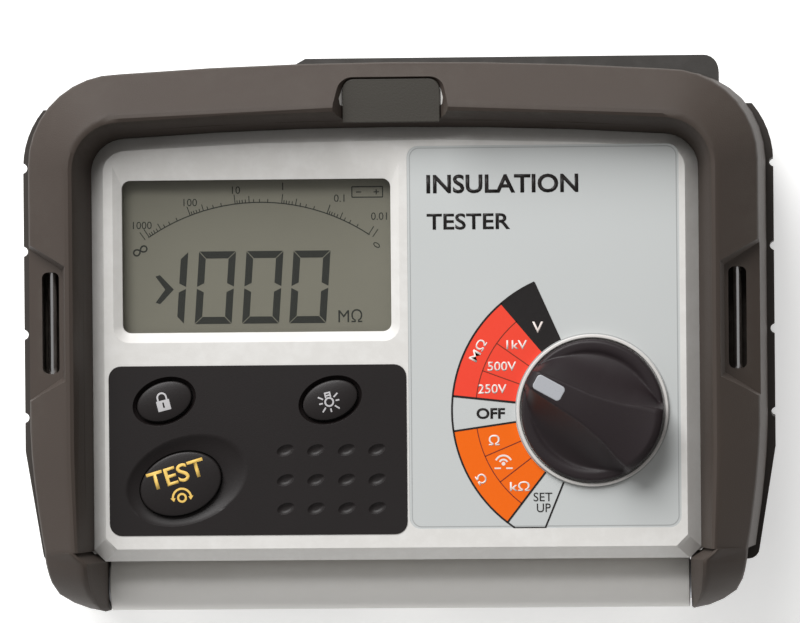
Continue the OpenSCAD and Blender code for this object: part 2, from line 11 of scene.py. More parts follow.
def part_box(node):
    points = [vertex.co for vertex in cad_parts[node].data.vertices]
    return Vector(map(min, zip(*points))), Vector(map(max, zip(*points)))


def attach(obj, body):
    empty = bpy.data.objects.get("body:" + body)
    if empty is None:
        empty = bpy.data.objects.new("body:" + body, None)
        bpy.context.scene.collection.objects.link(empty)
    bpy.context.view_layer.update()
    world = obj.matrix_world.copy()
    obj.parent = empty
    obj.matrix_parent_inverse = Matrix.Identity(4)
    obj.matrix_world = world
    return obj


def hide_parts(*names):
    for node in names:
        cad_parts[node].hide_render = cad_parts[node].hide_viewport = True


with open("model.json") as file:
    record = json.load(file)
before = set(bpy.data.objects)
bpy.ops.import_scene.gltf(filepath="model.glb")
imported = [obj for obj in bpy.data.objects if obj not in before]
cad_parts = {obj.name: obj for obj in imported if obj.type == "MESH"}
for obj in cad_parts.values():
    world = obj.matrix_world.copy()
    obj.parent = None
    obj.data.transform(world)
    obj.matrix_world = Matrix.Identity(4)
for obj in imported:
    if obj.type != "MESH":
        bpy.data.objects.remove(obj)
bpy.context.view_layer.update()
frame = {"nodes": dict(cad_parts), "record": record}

# ---- Camera
# It stands high over the panel with a long lens, and leans a little towards the knob side,
# so that the right-hand grip shows past the bumper.
AIM = Vector((0.0015, 0.0058, 0.062))
CAMERA_DISTANCE = 1.9
VIEW_WIDTH = 0.2128
LEAN = math.radians(3.0)
ROLL = math.radians(-0.5)
camera_data = bpy.data.cameras.new("camera")
camera_data.sensor_width = 36
camera_data.lens = 36 * CAMERA_DISTANCE / VIEW_WIDTH
camera_data.clip_end = 20
camera = bpy.data.objects.new("camera", camera_data)
bpy.context.collection.objects.link(camera)
away = Vector((math.sin(LEAN), 0, math.cos(LEAN)))
camera.matrix_world = (
    Matrix.Translation(AIM + away * CAMERA_DISTANCE)
    @ Matrix.Rotation(LEAN, 4, "Y")
    @ Matrix.Rotation(ROLL, 4, "Z")
)
bpy.context.scene.camera = camera
bpy.context.scene.view_settings.view_transform = "Standard"

# ---- Studio
# A broad lamp stands low behind the socket edge, a smaller one at the left, and a dim one in front.
# The room is an even pale grey, so that the walls of the bumper's well stay dark.
world = bpy.data.worlds.new("studio")
world.use_nodes = True
world.node_tree.nodes["Background"].inputs["Color"].default_value = (1, 0.99, 0.97, 1)
world.node_tree.nodes["Background"].inputs["Strength"].default_value = 0.27
bpy.context.scene.world = world
for name, place, size, power in [
    ("rear_lamp", (-0.62, 1.45, 1.4), 1.4, 56),
    ("left_lamp", (-1.6, 0.1, 0.8), 0.8, 3.5),
    ("front_lamp", (0.2, -1.7, 0.6), 0.9, 1.4),
]:
    lamp_data = bpy.data.lights.new(name, "AREA")
    lamp_data.size = size
    lamp_data.energy = power
    lamp = bpy.data.objects.new(name, lamp_data)
    lamp.matrix_world = Matrix.Translation(place) @ (
        Vector((0, 0, 0.04)) - Vector(place)
    ).to_track_quat("-Z", "Y").to_matrix().to_4x4()
    bpy.context.collection.objects.link(lamp)


# ---- Floor
# A sheet of white paper under the tester, wide enough to fill every view.
# The maths of every finish starts here: Value is one number that varies over a surface.
class Value:
    """One number that varies over a surface. Arithmetic on it adds Math nodes."""

    def __init__(self, finish, socket):
        self.finish, self.socket = finish, socket

    def math(self, operation, *values):
        return self.finish.node("ShaderNodeMath", {"operation": operation}, dict(enumerate(values)))

    def __add__(self, other):
        return self.math("ADD", self, other)

    def __sub__(self, other):
        return self.math("SUBTRACT", self, other)

    def __rsub__(self, other):
        return self.math("SUBTRACT", other, self)

    def __mul__(self, other):
        return self.math("MULTIPLY", self, other)

    __radd__ = __add__
    __rmul__ = __mul__


class Finish:
    """A material under construction. Its fixed settings sit on the shader's own sockets."""

    def __init__(self, name, **settings):
        self.material = bpy.data.materials.new(name)
        self.material.use_nodes = True
        self.tree = self.material.node_tree
        self.shader = self.tree.nodes["Principled BSDF"]
        self.give(**settings)

    def feed(self, socket, value):
        if isinstance(value, Value):
            self.tree.links.new(value.socket, socket)
        else:
            socket.default_value = (*value, 1) if socket.type == "RGBA" and len(value) == 3 else value

    def node(self, kind, settings=None, inputs=None, output=0):
        made = self.tree.nodes.new(kind)
        for key, value in (settings or {}).items():
            if key == "stops":
                ramp = made.color_ramp
                while len(ramp.elements) < len(value):
                    ramp.elements.new(0.5)
                for element, (position, level) in zip(ramp.elements, value):
                    element.position, element.color = position, (level, level, level, 1)
            else:
                setattr(made, key, value)
        for key, value in (inputs or {}).items():
            self.feed(made.inputs[key], value)
        return Value(self, made.outputs[output])

    def give(self, **looks):
        for key, value in looks.items():
            self.feed(self.shader.inputs[key], value)

    def noise(self, scale, detail=2.0, roughness=0.5, stretch=(1, 1, 1)):
        place = self.node("ShaderNodeTexCoord", output=3)
        place = self.node("ShaderNodeMapping", None, {"Vector": place, "Scale": stretch})
        sizes = {"Vector": place, "Scale": scale, "Detail": detail, "Roughness": roughness}
        return self.node("ShaderNodeTexNoise", None, sizes)

    def ramp(self, value, *stops):
        return self.node("ShaderNodeValToRGB", {"stops": stops}, {"Fac": value})

    def mix(self, amount, low, high):
        return self.node("ShaderNodeMix", {"data_type": "RGBA"}, {0: amount, 6: low, 7: high}, output=2)

    def bump(self, height, distance, strength=1.0):
        heights = {"Height": height, "Distance": distance, "Strength": strength}
        self.give(Normal=self.node("ShaderNodeBump", None, heights))


def moulded(name, low, high, roughness, grain, depth, worn=None, **settings):
    """Moulded plastic, rubber or paper: a fine grain, slow drifts of tone and paler worn edges.
    The noise scales count waves to the metre, and the grain's depth is in metres."""
    finish = Finish(name, **settings)
    drift = finish.noise(22, 3)
    fine = finish.noise(grain, 2, 0.6)
    colour = finish.mix(drift * 0.7 + fine * 0.3, low, high)
    if worn:
        edges = finish.ramp(finish.node("ShaderNodeNewGeometry", output="Pointiness"), (0.52, 0), (0.62, 1))
        scuffs = finish.ramp(finish.noise(160, 3, 0.7), (0.42, 0.1), (0.66, 1))
        colour = finish.mix(edges * scuffs * 0.5, colour, worn)
    finish.give(**{
        "Base Color": colour,
        "Roughness": finish.ramp(drift * 0.4 + fine * 0.6, (0.3, roughness - 0.05), (0.7, roughness + 0.06)),
    })
    finish.bump(fine, depth)
    return finish.material


FLOOR_SIZE = 6
floor_mesh = bmesh.new()
bmesh.ops.create_grid(floor_mesh, x_segments=2, y_segments=2, size=FLOOR_SIZE)
floor_data = bpy.data.meshes.new("floor")
floor_mesh.to_mesh(floor_data)
floor_mesh.free()
floor_data.materials.append(moulded(
    "white_paper", (0.93, 0.93, 0.92), (0.96, 0.96, 0.955), 0.9, 400, 0.00003,
    **{"Emission Color": (1, 1, 1), "Emission Strength": 0.45},
))
floor = bpy.data.objects.new("floor", floor_data)
bpy.context.collection.objects.link(floor)


# ---- Upper case
# The light grey ABS shell that holds the front panel, in one moulding with the bezel round the well.
# Its edges are broken by the mould, and its face has a fine spark-eroded grain.
def coat(name, finish):
    """Puts a finish on a CAD piece that keeps its own shape."""
    data = frame["nodes"][name].data
    data.materials.clear()
    data.materials.append(finish)


def made(form, name, body, finish, *replaced, slot=None, smooth=40):
    """Turns a worked form into a piece that rides on a body, with soft shading up to sharp edges,
    or flat shading for a print."""
    data = bpy.data.meshes.new(name)
    form.to_mesh(data)
    form.free()
    if smooth:
        data.shade_smooth()
        data.set_sharp_from_angle(angle=math.radians(smooth))
    data.materials.clear()
    data.materials.append(finish)
    piece = bpy.data.objects.new(name, data)
    bpy.context.collection.objects.link(piece)
    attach(piece, body)
    if replaced:
        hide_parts(*replaced)
    return piece


def body_of(node):
    """The body that a CAD piece moves with."""
    for name, nodes in NODES_OF_BODY.items():
        if node in nodes:
            return name


NODES_OF_BODY = frame["record"]["behaviour"]["bodies"]
SLOT_OF = {part["node"]: part["material_slot"] for part in frame["record"]["subparts"]}


def softened(node, radius, finish, over=30, segments=2, smooth=40):
    """Rounds the edges of a copy of a CAD piece, where its faces meet at more than `over` degrees.
    The radius is in metres. The copy stands for the sharp piece."""
    form = bmesh.new()
    form.from_mesh(frame["nodes"][node].data)
    bmesh.ops.remove_doubles(form, verts=form.verts, dist=0.00001)
    bmesh.ops.dissolve_limit(
        form, angle_limit=math.radians(1), verts=form.verts, edges=form.edges,
        use_dissolve_boundaries=False,
    )
    sharp = [
        edge for edge in form.edges
        if len(edge.link_faces) == 2 and edge.calc_face_angle(0) > math.radians(over)
    ]
    bmesh.ops.bevel(
        form, geom=sharp, offset=radius, offset_type="OFFSET", affect="EDGES",
        segments=segments, profile=0.5, material=-1, clamp_overlap=True,
    )
    piece = made(form, node + "_moulding", body_of(node), finish, node, slot=SLOT_OF[node], smooth=smooth)
    even = piece.modifiers.new("even shading", "WEIGHTED_NORMAL")
    even.keep_sharp = True
    return piece


light_abs = moulded(
    "light_case_plastic", (0.68, 0.665, 0.64), (0.73, 0.715, 0.69), 0.42, 3200, 0.00002,
    worn=(0.80, 0.79, 0.77),
)
case_moulding = softened("upper_case", 0.0006, light_abs)

# ---- Bumper and side grips
# Soft brown-black rubber moulded over the case: a deep ring with a ridge round the well, two
# arms that reach down to the hinge, and a ribbed grip on each side of the lower case.
rubber = moulded(
    "bumper_rubber", (0.046, 0.0345, 0.0280), (0.060, 0.0460, 0.038), 0.6, 2600, 0.00004,
    worn=(0.11, 0.10, 0.085), **{"Specular IOR Level": 0.3},
)
softened("upper_bumper", 0.0007, rubber, over=36, smooth=45)
# The strap slots go down through the case's core. There the core's faces get the dark rubber finish as
# painted shade, so that the deep slots read dark.
SLOT_INSIDE, SLOT_OUTSIDE, SLOT_MIDDLE, SLOT_REACH, SLOT_HEAD = 0.0885, 0.0940, 0.0035, 0.018, 0.0715
case_moulding.data.materials.append(rubber)
# Each face inside a slot takes the rubber finish as painted shade.
for face in case_moulding.data.polygons:
    x, y, z = face.center
    if SLOT_INSIDE < abs(x) < SLOT_OUTSIDE and abs(y - SLOT_MIDDLE) < SLOT_REACH and z < SLOT_HEAD:
        face.material_index = 1
grip_rubber = moulded(
    "grip_rubber", (0.046, 0.040, 0.036), (0.058, 0.051, 0.046), 0.65, 2200, 0.00005,
    **{"Specular IOR Level": 0.2},
)
for side in ("side_grip_left", "side_grip_right"):
    softened(side, 0.0005, grip_rubber)

# ---- Latch
# A dark plastic strip that the lid's tongue snaps behind, let into the bumper at the socket edge.
latch_plastic = moulded("latch_plastic", (0.034, 0.030, 0.024), (0.044, 0.039, 0.031), 0.5, 2200, 0.00004)
softened("latch_plate", 0.0003, latch_plastic)

# ---- Strap bars
# A short bright steel bar across each slot in the bumper, for a neck strap's webbing.
bright_steel = moulded(
    "bright_steel", (0.78, 0.78, 0.80), (0.88, 0.88, 0.90), 0.16, 900, 0.00001, Metallic=1.0,
)
for side in ("strap_bar_left", "strap_bar_right"):
    softened(side, 0.0002, bright_steel)

# ---- Lower case
# The dark ABS tub: feet, battery bay, and the socket housing at the back. Screws come up from below.
dark_abs = moulded(
    "dark_case_plastic", (0.034, 0.031, 0.028), (0.046, 0.042, 0.038), 0.5, 3000, 0.00004,
    worn=(0.10, 0.095, 0.09),
)
softened("lower_case", 0.0005, dark_abs)
softened("battery_door", 0.0004, dark_abs)
silicone = moulded("silicone_rubber", (0.02, 0.02, 0.02), (0.032, 0.03, 0.03), 0.6, 1800, 0.00003)
coat("case_seal", silicone)
zinc_steel = moulded("zinc_steel", (0.48, 0.49, 0.52), (0.60, 0.60, 0.63), 0.32, 1200, 0.00001, Metallic=1.0)
for screws in ("case_screws", "battery_door_screw", "board_screws"):
    coat(screws, zinc_steel)

# ---- Sockets
# Three shrouded 4 mm sockets at the back, red, black and blue, in a black plate, with gilt contacts.
for node, low, high in [
    ("socket_positive", (0.42, 0.015, 0.010), (0.52, 0.025, 0.016)),
    ("socket_negative", (0.015, 0.015, 0.015), (0.022, 0.022, 0.022)),
    ("socket_guard", (0.015, 0.09, 0.32), (0.022, 0.12, 0.40)),
]:
    softened(node, 0.0005, moulded(node + "_plastic", low, high, 0.3, 2400, 0.00001), segments=3)
softened("socket_panel", 0.0003, dark_abs)
gilt = moulded("gilt_brass", (0.60, 0.42, 0.16), (0.74, 0.54, 0.22), 0.28, 900, 0.00001, Metallic=1.0)
for node in ("socket_contacts", "fuse_clips"):
    coat(node, gilt)

# ---- Display
# A reflective liquid-crystal module under a clear acrylic window, with a rubber seal between them.
# It shows the over-range reading: the arc scale, the digits and the small signs are dark segments.
coat("display_seal", silicone)
coat("backlight_guide", moulded("light_guide", (0.80, 0.84, 0.86), (0.86, 0.90, 0.92), 0.2, 500, 0.00001))
lcd_glass = Finish("display_glass", Roughness=0.3)
cloudy = lcd_glass.noise(60, 2)
lcd_glass.give(**{"Base Color": lcd_glass.mix(cloudy, (0.205, 0.198, 0.155), (0.220, 0.212, 0.168))})
lcd_glass.bump(lcd_glass.noise(2500), 0.000002)
coat("lcd_module", lcd_glass.material)
acrylic = Finish("clear_acrylic", Roughness=0.08, Alpha=0.06, **{"Base Color": (0.10, 0.10, 0.09)})
acrylic.bump(acrylic.noise(40), 0.00001)
coat("display_window", acrylic.material)

MM = 0.001
INK = 0.03 * MM
DEGREES_A_STEP = 3


def lettering(ink, words, cap, at, length=None, turn=0.0, bold=0.0, z=0.0):
    """Adds words to a print, centred on a point, by their cap height and overall length in mm."""
    curve = bpy.data.curves.new("words", "FONT")
    curve.body, curve.offset, curve.resolution_u = words, bold, 4
    text = bpy.data.objects.new("words", curve)
    drawn = bpy.data.meshes.new_from_object(text)
    low = [min(v.co[i] for v in drawn.vertices) for i in (0, 1)]
    high = [max(v.co[i] for v in drawn.vertices) for i in (0, 1)]
    tall = cap / (high[1] - low[1])
    wide = length / (high[0] - low[0]) if length else tall
    drawn.transform(
        Matrix.Translation((at[0] * MM, at[1] * MM, z * MM))
        @ Matrix.Rotation(math.radians(turn), 4, "Z")
        @ Matrix.Diagonal((wide * MM, tall * MM, 1, 1))
        @ Matrix.Translation((-(low[0] + high[0]) / 2, -(low[1] + high[1]) / 2, 0))
    )
    ink.from_mesh(drawn)
    bpy.data.objects.remove(text)
    bpy.data.curves.remove(curve)
    bpy.data.meshes.remove(drawn)


def outline_of(ink, corners, z=0.0):
    """Adds one flat patch of ink with these corners, in mm."""
    return ink.faces.new([ink.verts.new((x * MM, y * MM, z * MM)) for x, y in corners])


def stroke(ink, start, end, width, z=0.0):
    """Adds a straight printed line, in mm."""
    start, end = Vector(start), Vector(end)
    along = end - start
    aside = Vector((-along.y, along.x)).normalized() * width / 2
    outline_of(ink, [start - aside, end - aside, end + aside, start + aside], z)


def around(centre, radius, degrees):
    """The point on a circle, in mm."""
    turn = math.radians(degrees)
    return centre[0] + radius * math.cos(turn), centre[1] + radius * math.sin(turn)


def sector(ink, centre, inner, outer, start, end, z=0.0):
    """Adds a flat piece of ring, swept from one angle to another, in mm and degrees."""
    steps = max(2, round(abs(end - start) / DEGREES_A_STEP))
    ends = [ink.verts.new((*(Vector(around(centre, r, start)) * MM), z * MM)) for r in (inner, outer)]
    bmesh.ops.spin(
        ink, geom=[*ends, ink.edges.new(ends)], cent=(centre[0] * MM, centre[1] * MM, 0), axis=(0, 0, 1),
        dvec=(0, 0, 0), angle=math.radians(end - start), steps=steps, use_merge=abs(end - start) == 360,
    )


def print_ink(ink, name, body, finish, slot, thickness=INK):
    """Gives a flat print its thickness, and makes it a piece."""
    bmesh.ops.remove_doubles(ink, verts=ink.verts, dist=0.000001)
    ink.normal_update()
    for face in ink.faces:
        if face.normal.z < 0:
            face.normal_flip()
    piece = made(ink, name, body, finish, slot=slot, smooth=None)
    film = piece.modifiers.new("ink film", "SOLIDIFY")
    film.thickness, film.offset = thickness, 1
    return piece


def inked(name, low, high, roughness=0.4):
    """Screen-printed ink: slightly uneven where the mesh laid it down."""
    return moulded(name, low, high, roughness, 1800, 0.000004, **{"Specular IOR Level": 0.25})


LCD_TOP = 56.02
SEGMENT = 1.9
DIGIT_HEIGHT = 19.4
DIGIT_FOOT = 2.9
SLANT = math.tan(math.radians(4))
lcd = bmesh.new()


def segments(left, width, which):
    """Adds the bars of one seven-segment digit, leaning to the right as it rises."""
    low, high, mid = DIGIT_FOOT, DIGIT_FOOT + DIGIT_HEIGHT, DIGIT_FOOT + DIGIT_HEIGHT / 2
    right, slit = left + width, 0.14
    bars = {
        "top": [(left + slit, high), (right - slit, high), (right - SEGMENT - slit, high - SEGMENT),
                (left + SEGMENT + slit, high - SEGMENT)],
        "bottom": [(left + slit, low), (left + SEGMENT + slit, low + SEGMENT),
                   (right - SEGMENT - slit, low + SEGMENT), (right - slit, low)],
    }
    for side, edge, into in (("left", left, 1), ("right", right, -1)):
        for part, tip, away in (("upper", high, 1), ("lower", low, -1)):
            bars[part + " " + side] = [
                (edge, tip - away * slit),
                (edge, mid + away * 0.25),
                (edge + into * SEGMENT, mid + away * 1.2),
                (edge + into * SEGMENT, tip - away * (SEGMENT + slit)),
            ]
    for bar in which:
        corners = [(x + (y - mid) * SLANT, y) for x, y in bars[bar]]
        outline_of(lcd, corners, LCD_TOP)


ZERO = ("top", "bottom", "upper left", "lower left", "upper right", "lower right")
for left in (-53.1, -40.4, -27.8):
    segments(left, 9.9, ZERO)
segments(-61.2, 5.2, ("upper right", "lower right"))
OVER_SIGN_Y = 12.2
for side in (1, -1):
    arm = [(-64.2, 3.5), (-63.0, 3.9), (-59.3, 0), (-61.6, 0)]
    outline_of(lcd, [(x, OVER_SIGN_Y + side * rise) for x, rise in arm], LCD_TOP)
lettering(lcd, "MΩ", 3.5, (-12.1, 4.8), 6.4, z=LCD_TOP)
SCALE_CENTRE = (-36.2, -17.6)
SCALE_RADIUS = 52.9
DECADE = 13.5
FIRST_DECADE = 124.0
sector(lcd, SCALE_CENTRE, SCALE_RADIUS - 0.14, SCALE_RADIUS + 0.14, 56.2, 124.3, LCD_TOP)


def tick(degrees, length):
    """Adds one mark that stands out from the arc scale."""
    foot = around(SCALE_CENTRE, SCALE_RADIUS, degrees)
    tip = around(SCALE_CENTRE, SCALE_RADIUS + length, degrees)
    stroke(lcd, foot, tip, 0.24, LCD_TOP)


for decade in range(5):
    for mark in range(2, 11):
        degrees = FIRST_DECADE - DECADE * (decade + 1 - math.log10(mark))
        tick(degrees, {10: 2.5, 5: 1.8}.get(mark, 0.9))
tick(FIRST_DECADE - 5 * DECADE, 2.5)
tick(FIRST_DECADE + 1.4, 2.5)
tick(FIRST_DECADE - 5 * DECADE - 1.4, 2.5)
for words, x, y, turn in [
    ("1000", -67.6, 29.4, 0), ("100", -54.7, 35.4, 0), ("10", -42.4, 38.6, 0), ("1", -29.9, 39.5, 0),
    ("0.1", -14.8, 36.2, 0), ("0.01", -4.2, 31.3, 0), ("∞", -68.2, 22.6, 28), ("0", -4.9, 23.6, 55),
]:
    lettering(lcd, words, 2.0, (x, y), turn=turn, z=LCD_TOP)
# The battery sign is a box with a minus and a plus in it.
for start, end in [
    ((-11.4, 36.4), (-3.2, 36.4)), ((-11.4, 36.4), (-11.4, 39.2)), ((-3.2, 36.4), (-3.2, 39.2)),
    ((-11.4, 39.2), (-3.2, 39.2)), ((-10.3, 37.8), (-8.9, 37.8)), ((-5.6, 37.8), (-4.2, 37.8)),
    ((-4.9, 37.1), (-4.9, 38.5)),
]:
    stroke(lcd, start, end, 0.3, LCD_TOP)
lcd_ink = moulded("display_segments", (0.006, 0.008, 0.005), (0.010, 0.012, 0.008), 0.5, 900, 0.000002)
print_ink(lcd, "display_reading", "body", lcd_ink, "lcd", thickness=0.01 * MM)

# ---- Range label
# A printed polycarbonate sheet in a shallow recess: the name of the instrument, and a fan of
# coloured fields round the knob that says what each position measures.
label_sheet = moulded("label_sheet", (0.545, 0.565, 0.560), (0.575, 0.592, 0.590), 0.36, 2600, 0.000006)
coat("range_label", label_sheet)
KNOB = (52.5, -20.9)
LABEL_TOP = 61.91
OVER = 0.04
RING, MIDDLE, RIM = 20.6, 31.1, 37.4
fields = {
    "black": (inked("black_ink", (0.014, 0.012, 0.012), (0.020, 0.018, 0.018)), [(RING, RIM, 114, 130)]),
    "red": (inked("red_ink", (0.83, 0.058, 0.030), (0.89, 0.072, 0.040)), [(RING, RIM, 130, 173.7)]),
    "orange": (inked("orange_ink", (0.84, 0.130, 0.003), (0.90, 0.152, 0.006)), [(RING, RIM, 188.1, 232.3)]),
}
for colour, (ink_finish, pieces) in fields.items():
    ink = bmesh.new()
    for inner, outer, start, end in pieces:
        sector(ink, KNOB, inner, outer, start, end, LABEL_TOP)
    print_ink(ink, "range_field_" + colour, "body", ink_finish, "label")

dark = bmesh.new()
BORDER = 0.5
line_z = LABEL_TOP + OVER
sector(dark, KNOB, RIM - BORDER / 2, RIM + BORDER / 2, 114, 232.3, line_z)
for degrees, width in [(173.7, 0.55), (188.1, 0.5), (232.3, 0.5), (130, 0.5), (114, 0.3)]:
    stroke(dark, around(KNOB, RING, degrees), around(KNOB, RIM, degrees), width, line_z)
SET_FOOT = -52.0
set_left = around(KNOB, RIM, 232.3)
set_near = around(KNOB, RING, 247.6)
reach = (KNOB[1] - SET_FOOT) / -math.sin(math.radians(247.6))
set_far = around(KNOB, reach, 247.6)
set_turn = (set_left[0] + 2.0, SET_FOOT)
for start, end in [(set_near, set_far), (set_far, set_turn), (set_turn, set_left)]:
    stroke(dark, start, end, 0.45, line_z)
lettering(dark, "INSULATION", 5.0, (29.0, 39.6), 40.4, bold=0.022, z=line_z)
lettering(dark, "TESTER", 4.3, (19.9, 29.6), 22.2, bold=0.016, z=line_z)
lettering(dark, "OFF", 2.9, (25.4, -21.5), 7.6, bold=0.030, z=line_z)
lettering(dark, "SET", 2.3, (39.1, -43.8), 5.0, z=line_z)
lettering(dark, "UP", 2.3, (39.3, -46.7), 3.7, z=line_z)
dark_ink = inked("dark_ink", (0.014, 0.012, 0.012), (0.022, 0.019, 0.018))
print_ink(dark, "range_print_dark", "body", dark_ink, "label")

rules = bmesh.new()
for start, end in [(130, 173.7), (188.1, 232.3)]:
    sector(rules, KNOB, MIDDLE - 0.13, MIDDLE + 0.13, start, end, line_z)
for degrees in (144.6, 159.7, 202.7, 217.3):
    stroke(rules, around(KNOB, RING, degrees), around(KNOB, MIDDLE, degrees), 0.26, line_z)
rule_ink = inked("rule_ink", (0.19, 0.030, 0.018), (0.24, 0.040, 0.022))
print_ink(rules, "range_rules", "body", rule_ink, "label")

pale = bmesh.new()
for words, cap, x, y, length, turn in [
    ("V", 3.0, 38.1, 1.3, 2.9, 0), ("1kV", 2.4, 32.5, -3.3, 5.5, 0), ("500V", 2.5, 28.5, -9.0, 7.6, 0),
    ("250V", 2.5, 25.9, -15.0, 7.6, 0), ("MΩ", 2.5, 22.1, -4.7, 6.1, 60), ("Ω", 2.8, 26.3, -28.6, 2.9, 0),
    ("Ω", 2.6, 22.8, -38.9, 2.7, -60), ("kΩ", 2.6, 33.0, -40.9, 5.3, 0),
]:
    lettering(pale, words, cap, (x, y), length, turn, 0.012, line_z)
BUZZER = (28.7, -34.9)
for radius in (1.1, 2.2):
    sector(pale, BUZZER, radius - 0.24, radius + 0.24, 25, 155, line_z)
sector(pale, BUZZER, 0, 0.5, 0, 360, line_z)
dash_y = BUZZER[1] - 1.2
for side in (-1, 1):
    stroke(pale, (BUZZER[0] + side * 0.7, dash_y), (BUZZER[0] + side * 2.4, dash_y), 0.4, line_z)
white_ink = inked("white_ink", (0.80, 0.70, 0.66), (0.88, 0.80, 0.76))
print_ink(pale, "range_print_white", "body", white_ink, "label")

# Painted shade: a thin grey line just inside the recess stands for the shade along the sheet's embossed edge.
painted_shade_lines = bmesh.new()
LEFT, RIGHT, FOOT, HEAD, TURN = 4.3, 75.2, -51.5, 49.2, 2.6
FINE = 0.24
for corner, start in [
    ((RIGHT - TURN, HEAD - TURN), 0), ((LEFT + TURN, HEAD - TURN), 90),
    ((LEFT + TURN, FOOT + TURN), 180), ((RIGHT - TURN, FOOT + TURN), 270),
]:
    sector(painted_shade_lines, corner, TURN - FINE / 2, TURN + FINE / 2, start, start + 90, LABEL_TOP)
for start, end in [
    ((LEFT, FOOT + TURN), (LEFT, HEAD - TURN)), ((RIGHT, FOOT + TURN), (RIGHT, HEAD - TURN)),
    ((LEFT + TURN, FOOT), (RIGHT - TURN, FOOT)), ((LEFT + TURN, HEAD), (RIGHT - TURN, HEAD)),
]:
    stroke(painted_shade_lines, start, end, FINE, LABEL_TOP)
# A thin grey circle just outside the knob's collar is the collar's painted soft shadow.
sector(painted_shade_lines, KNOB, RING - 0.25, RING - 0.05, 0, 360, LABEL_TOP)
painted_shade_ink = inked("painted_shade_grey_ink", (0.36, 0.37, 0.37), (0.42, 0.43, 0.43))
print_ink(painted_shade_lines, "label_painted_shade_lines", "body", painted_shade_ink, "label")

# ---- Knob ring
# A near-white collar round the knob, moulded with a rounded top edge and pressed into the panel.
softened("knob_ring", 0.0003, moulded(
    "white_collar_plastic", (0.66, 0.64, 0.615), (0.72, 0.70, 0.68), 0.35, 2600, 0.00001,
), segments=3, over=50)

# ---- Range knob
# A dark plastic knob. A ridge to grip runs across it, narrow at the pointer and wide at the back,
# with a dished scoop on each side that leaves a rim round the base.
KNOB_RADIUS, SKIRT_FOOT, RIM_TOP, SCOOP_FLOOR = 18.9, 62.65, 65.0, 63.5
GRIP_TOP, GRIP_BACK = 74.6, 73.4
POINTER = 151
EDGE_ROUND = 0.9
# Half the ridge's width, from its back to the pointer
GRIP_HALF = [
    (-18.8, 9.8), (-15, 9.0), (-11, 7.6), (-7, 5.9), (-2, 4.6), (2, 3.8), (10, 3.2), (17.0, 2.6), (18.8, 2.0),
]


def between(table, along):
    """Reads a smooth value from a short table of sizes."""
    for (low, a), (high, b) in zip(table, table[1:]):
        if along <= high:
            part = min(1, max(0, (along - low) / (high - low)))
            return a + (b - a) * part
    return table[-1][1]


def eased(part):
    """Rises from 0 to 1 with a soft start and a soft end."""
    part = min(1, max(0, part))
    return part * part * (3 - 2 * part)


def knob_height(along, across):
    """The height of the knob's face. The pointer is at the far end of `along`."""
    crown = GRIP_BACK + (GRIP_TOP - GRIP_BACK) * eased((along + 17) / 22) - 0.010 * across * across
    half = between(GRIP_HALF, along)
    past = abs(across) - half
    chord = math.sqrt(max(0, KNOB_RADIUS ** 2 - along ** 2))
    reach = max(2.5, chord - half - 1.2)
    radius = math.hypot(along, across)
    low = SCOOP_FLOOR + 0.2 * eased(radius / KNOB_RADIUS)

    def wall(distance):
        """The side of the ridge, steep at its top and running out into the scoop."""
        if distance < 0:
            return crown
        part = min(1, distance / reach)
        return low + (crown - low) * (1 - part) ** 1.9

    height = (wall(past - 0.3) + 2 * wall(past) + wall(past + 0.3)) / 4
    height = max(height, low + (RIM_TOP - low) * eased((radius - 13.6) / 3.2))
    drop = 0.10 * eased((radius - 16.9) / 1.9)
    height = min(height, RIM_TOP + (height - RIM_TOP) * (1 - drop))
    edge = max(0, radius - (KNOB_RADIUS - EDGE_ROUND)) / EDGE_ROUND
    return height - EDGE_ROUND * (1 - math.sqrt(max(0, 1 - edge * edge)))


# A square grid is drawn out to the knob's disc, with a fixed share of its rows on the ridge.
knob = bmesh.new()
COLUMNS, ROWS, GRIP_SHARE = 110, 84, 0.26
bmesh.ops.create_grid(knob, x_segments=COLUMNS, y_segments=ROWS, size=1)
for vertex in knob.verts:
    along = KNOB_RADIUS * math.sin(vertex.co.x * math.pi / 2)
    chord = math.sqrt(max(0, KNOB_RADIUS ** 2 - along ** 2))
    half = min(between(GRIP_HALF, along), chord)
    share = abs(vertex.co.y)
    if share < GRIP_SHARE:
        across = half * share / GRIP_SHARE
    else:
        across = half + (chord - half) * ((share - GRIP_SHARE) / (1 - GRIP_SHARE)) ** 1.25
    across = math.copysign(across, vertex.co.y)
    vertex.co = Vector((along, across, knob_height(along, across)))
bmesh.ops.remove_doubles(knob, verts=knob.verts, dist=0.01)
rim = [edge for edge in knob.edges if edge.is_boundary]
skirt = bmesh.ops.extrude_edge_only(knob, edges=rim)["geom"]
SKIRT_FLARE = 1.003
for vertex in (item for item in skirt if isinstance(item, bmesh.types.BMVert)):
    vertex.co = Vector((vertex.co.x * SKIRT_FLARE, vertex.co.y * SKIRT_FLARE, SKIRT_FOOT))
bmesh.ops.contextual_create(knob, geom=[item for item in skirt if isinstance(item, bmesh.types.BMEdge)])
bmesh.ops.recalc_face_normals(knob, faces=knob.faces)
bmesh.ops.transform(
    knob, verts=knob.verts,
    matrix=Matrix.Translation((KNOB[0] * MM, KNOB[1] * MM, 0))
    @ Matrix.Rotation(math.radians(POINTER), 4, "Z") @ Matrix.Scale(MM, 4),
)
knob_plastic = moulded(
    "knob_plastic", (0.018, 0.0125, 0.0142), (0.023, 0.0165, 0.0186), 0.46, 2600, 0.00003,
    worn=(0.06, 0.054, 0.055), **{"Specular IOR Level": 0.3},
)
made(knob, "range_knob_grip", "knob", knob_plastic, "range_knob", slot="knob", smooth=60)
softened("knob_marker", 0.0004, moulded(
    "pale_marker_plastic", (0.40, 0.41, 0.44), (0.46, 0.47, 0.50), 0.3, 2000, 0.00001,
), segments=3)

